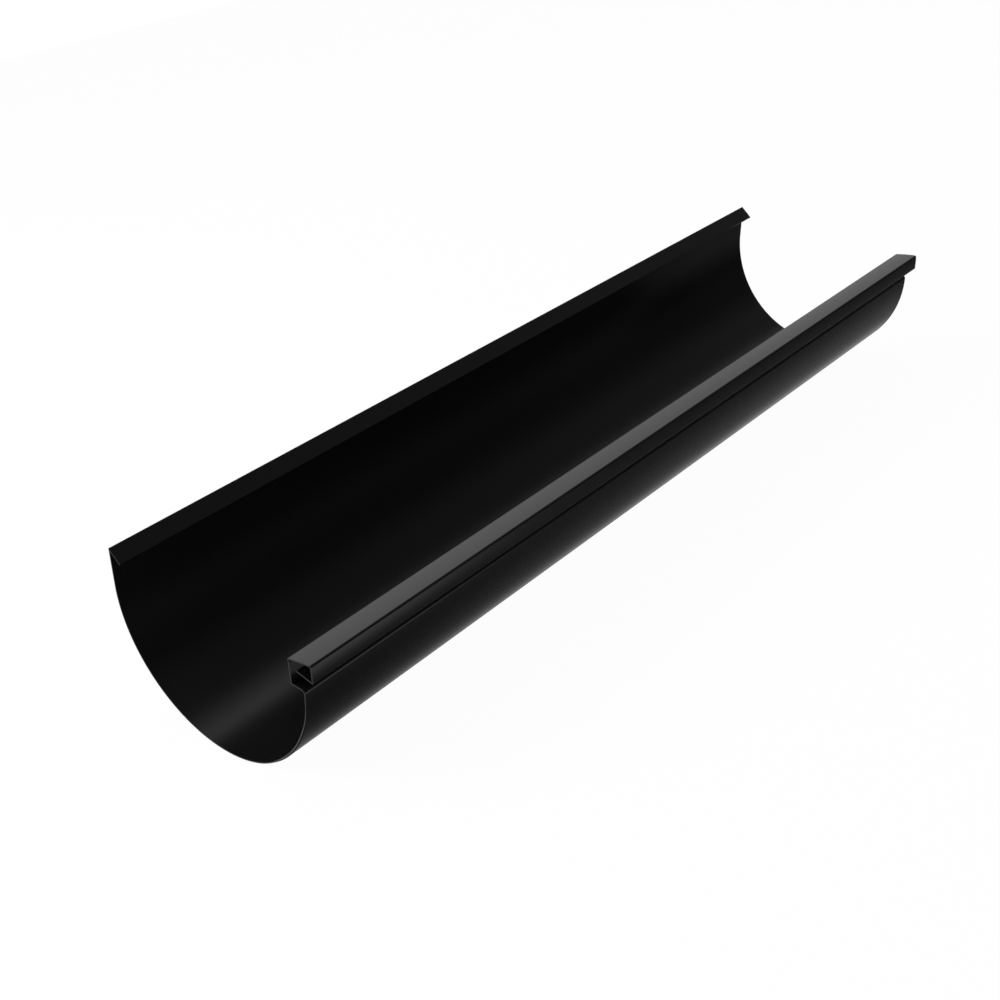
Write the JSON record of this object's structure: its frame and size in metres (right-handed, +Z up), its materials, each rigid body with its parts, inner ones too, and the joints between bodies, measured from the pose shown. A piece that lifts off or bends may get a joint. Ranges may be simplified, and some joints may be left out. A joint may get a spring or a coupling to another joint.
{
  "type": "gutter section",
  "caption": "Half-round rain gutter section in black coated sheet steel, with a boxed front bead, an open bracket slot under it and a folded rear flange.",
  "frame": {"origin": "bottom centre of the bounding box, with the gutter lying unheld on a level floor", "axes": "+X along the gutter, +Y towards the rear wall that goes against the fascia, +Z up"},
  "size_m": [0.538, 0.1326, 0.0955],
  "materials": {
    "coated_steel": "smooth satin black coil coating"
  },
  "bodies": {
    "root": {"gutter_section": "coated_steel"}
  },
  "joints": []
}
